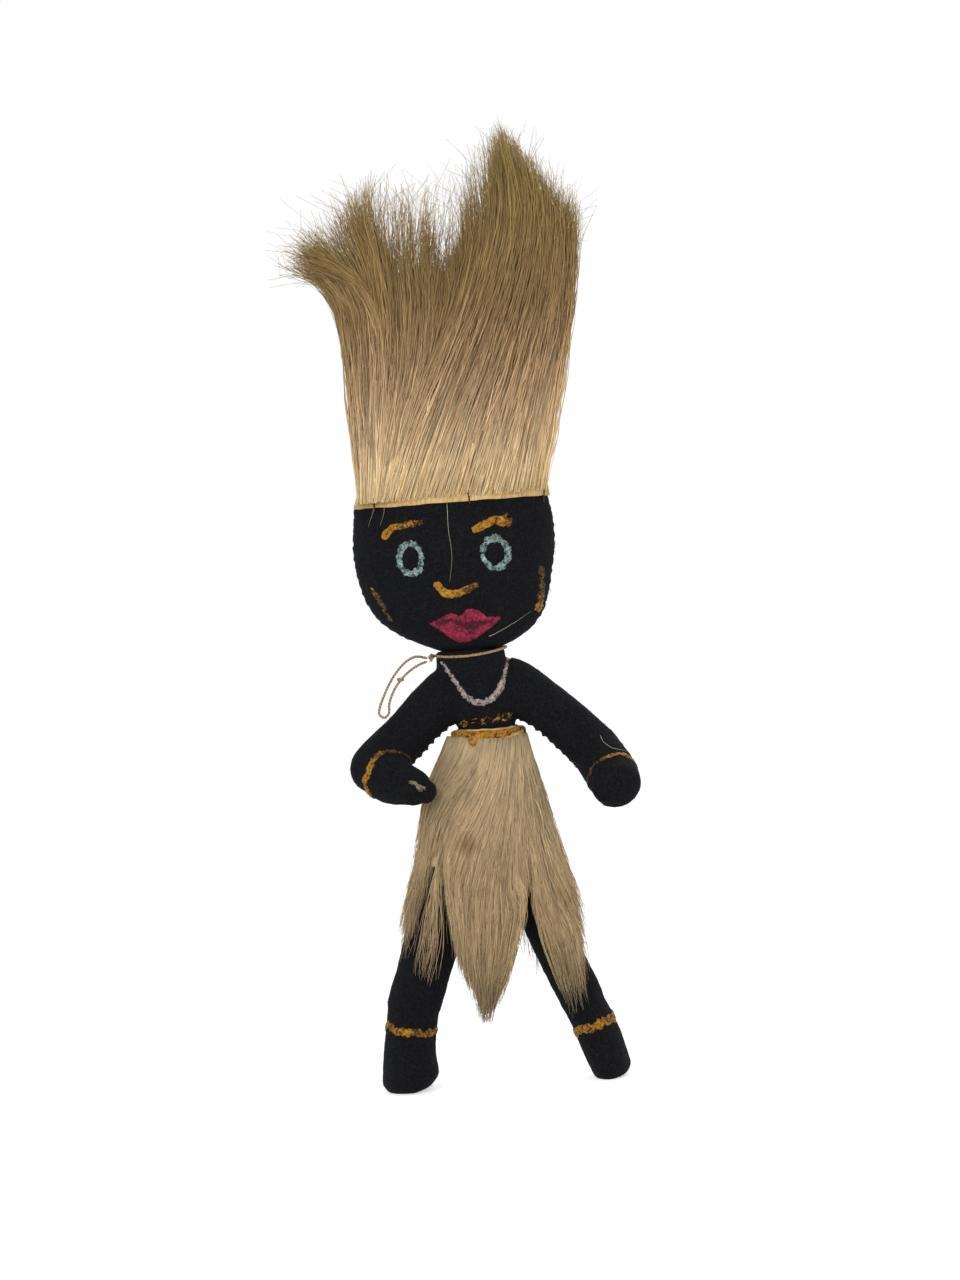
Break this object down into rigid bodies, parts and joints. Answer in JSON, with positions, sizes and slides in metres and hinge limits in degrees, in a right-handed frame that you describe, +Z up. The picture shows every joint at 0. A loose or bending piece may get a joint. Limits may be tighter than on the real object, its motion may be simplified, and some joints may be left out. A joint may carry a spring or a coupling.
{
  "type": "felt doll",
  "caption": "Hand-sewn doll of black felt with a wire inside, tall hair and a skirt of animal hide, a painted face and bands, and a string round its neck.",
  "frame": {"origin": "on the floor under the middle of the doll's box, in line with its soles", "axes": "+Z up, +X towards the doll's own left side, and -Y the way its face looks"},
  "size_m": [0.0812, 0.0322, 0.239],
  "materials": {
    "felt": "matte",
    "stuffing": "matte",
    "wire": "satin",
    "hide": "matte",
    "hair": "satin",
    "string": "satin",
    "yellow_paint": "satin",
    "pale_paint": "satin",
    "mint_paint": "satin",
    "lip_paint": "satin"
  },
  "bodies": {
    "torso": {"torso_felt": "felt", "torso_stuffing": "stuffing", "torso_wire_frame": "wire", "neck_string": "string", "neck_string_knot": "string", "neck_string_loop": "string", "necklace_paint": "pale_paint", "skirt_hide_strap": "hide", "waistband_paint": "yellow_paint", "skirt_fur": "hair"},
    "neck": {"neck_roll": "felt", "neck_wire": "wire"},
    "head": {"head_front_felt": "felt", "head_back_felt": "felt", "head_stuffing": "stuffing", "hair_hide_strip": "hide", "hair_fur": "hair", "nose_paint": "yellow_paint", "mouth_paint": "lip_paint", "right_eyebrow_paint": "yellow_paint", "right_eye_ring_paint": "mint_paint", "right_ear_paint": "yellow_paint", "left_eyebrow_paint": "yellow_paint", "left_eye_ring_paint": "mint_paint", "left_ear_paint": "yellow_paint"},
    "right_arm": {"right_arm_felt": "felt", "right_arm_stuffing": "stuffing", "right_arm_wire": "wire"},
    "right_hand": {"right_hand_felt": "felt", "right_hand_stuffing": "stuffing", "right_hand_wire": "wire", "right_bracelet_paint": "yellow_paint"},
    "right_leg": {"right_leg_felt": "felt", "right_leg_stuffing": "stuffing", "right_leg_wire": "wire"},
    "right_foot": {"right_foot_felt": "felt", "right_foot_stuffing": "stuffing", "right_foot_wire": "wire", "right_anklet_paint": "yellow_paint"},
    "left_arm": {"left_arm_felt": "felt", "left_arm_stuffing": "stuffing", "left_arm_wire": "wire"},
    "left_hand": {"left_hand_felt": "felt", "left_hand_stuffing": "stuffing", "left_hand_wire": "wire", "left_bracelet_paint": "yellow_paint"},
    "left_leg": {"left_leg_felt": "felt", "left_leg_stuffing": "stuffing", "left_leg_wire": "wire"},
    "left_foot": {"left_foot_felt": "felt", "left_foot_stuffing": "stuffing", "left_foot_wire": "wire", "left_anklet_paint": "yellow_paint"}
  },
  "joints": [
    {"name": "neck_turn", "type": "hinge", "parent": "torso", "child": "neck", "pos_m": [0.00043, 0.00214, 0.099], "axis": [0, 0, 1], "range_deg": [-40, 40]},
    {"name": "head_nod", "type": "hinge", "parent": "neck", "child": "head", "pos_m": [0.00043, 0.00214, 0.109], "axis": [1, 0, 0], "range_deg": [-12, 8]},
    {"name": "right_shoulder", "type": "hinge", "parent": "torso", "child": "right_arm", "pos_m": [-0.00587, 0.00214, 0.099], "axis": [0, 1, 0], "range_deg": [-8, 50]},
    {"name": "left_shoulder", "type": "hinge", "parent": "torso", "child": "left_arm", "pos_m": [0.01003, 0.00214, 0.1], "axis": [0, -1, 0], "range_deg": [-8, 50]},
    {"name": "right_wrist", "type": "hinge", "parent": "right_arm", "child": "right_hand", "pos_m": [-0.02517, 0.00014, 0.0816], "axis": [-0.4122, -0.7191, 0.5595], "range_deg": [-75, 5]},
    {"name": "left_wrist", "type": "hinge", "parent": "left_arm", "child": "left_hand", "pos_m": [0.03003, 0.00014, 0.0816], "axis": [-0.684, 0.2463, -0.6867], "range_deg": [-40, 30]},
    {"name": "right_hip", "type": "hinge", "parent": "torso", "child": "right_leg", "pos_m": [-0.00317, 0.00214, 0.078], "axis": [-1, 0, 0], "range_deg": [-20, 45], "deforming": ["skirt_fur"]},
    {"name": "left_hip", "type": "hinge", "parent": "torso", "child": "left_leg", "pos_m": [0.00963, 0.00214, 0.078], "axis": [-1, 0, 0], "range_deg": [-20, 45], "deforming": ["skirt_fur"]},
    {"name": "right_ankle", "type": "hinge", "parent": "right_leg", "child": "right_foot", "pos_m": [-0.02027, 0.00214, 0.0215], "axis": [-0.9382, 0, 0.3461], "range_deg": [-25, 25]},
    {"name": "left_ankle", "type": "hinge", "parent": "left_leg", "child": "left_foot", "pos_m": [0.02173, 0.00214, 0.02], "axis": [-0.9384, 0, -0.3455], "range_deg": [-25, 25]}
  ]
}
